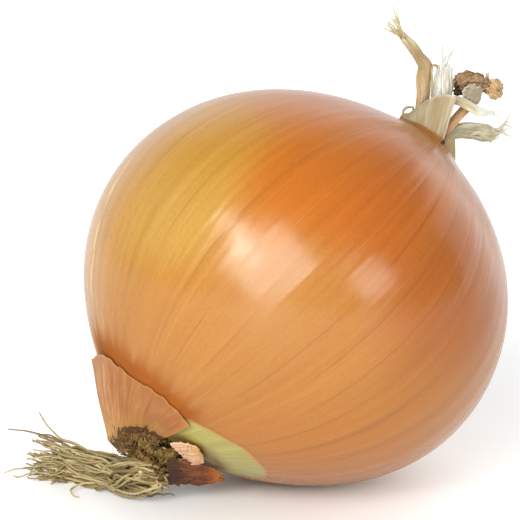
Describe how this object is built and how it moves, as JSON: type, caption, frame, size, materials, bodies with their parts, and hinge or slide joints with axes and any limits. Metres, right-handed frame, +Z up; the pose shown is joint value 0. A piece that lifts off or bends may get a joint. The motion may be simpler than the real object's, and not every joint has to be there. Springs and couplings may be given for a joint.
{
  "type": "onion",
  "caption": "Cured brown onion lying tilted on its side, with dried roots spread from the basal plate, a torn flap of skin and dried leaf ends at the neck.",
  "frame": {"origin": "centre of the small flat spot that the bulb rests on, at floor level", "axes": "+Z up from the floor; +X along the object's longest horizontal extent, from the root end to the neck end as seen from the front; -Y faces the viewer"},
  "size_m": [0.0983, 0.079, 0.089],
  "materials": {
    "bulb_skin": "satin papery skin",
    "basal_cork": "rough cork",
    "dry_root": "dry fibre",
    "flap_skin": "papery, ridged",
    "pale_skin": "papery",
    "red_skin": "papery",
    "dry_leaf_tan": "dry leaf",
    "dry_leaf_orange": "dry leaf",
    "dry_leaf_pale": "thin dry leaf",
    "dry_leaf_brown": "shrivelled leaf",
    "dry_leaf_grey": "thin dry leaf"
  },
  "bodies": {
    "root": {"bulb": "bulb_skin", "basal_plate": "basal_cork", "roots": "dry_root", "skin_flap": "flap_skin", "skin_scrap_pale": "pale_skin", "skin_scrap_red": "red_skin", "neck_collar": "dry_leaf_tan", "neck_wrap": "dry_leaf_tan", "neck_stem": "dry_leaf_orange", "neck_leaf_left": "dry_leaf_tan", "neck_leaf_middle": "dry_leaf_pale", "neck_strip_upper": "dry_leaf_pale", "neck_strip_lower": "dry_leaf_pale", "neck_tip": "dry_leaf_brown", "neck_scrap_grey": "dry_leaf_grey"}
  },
  "joints": []
}
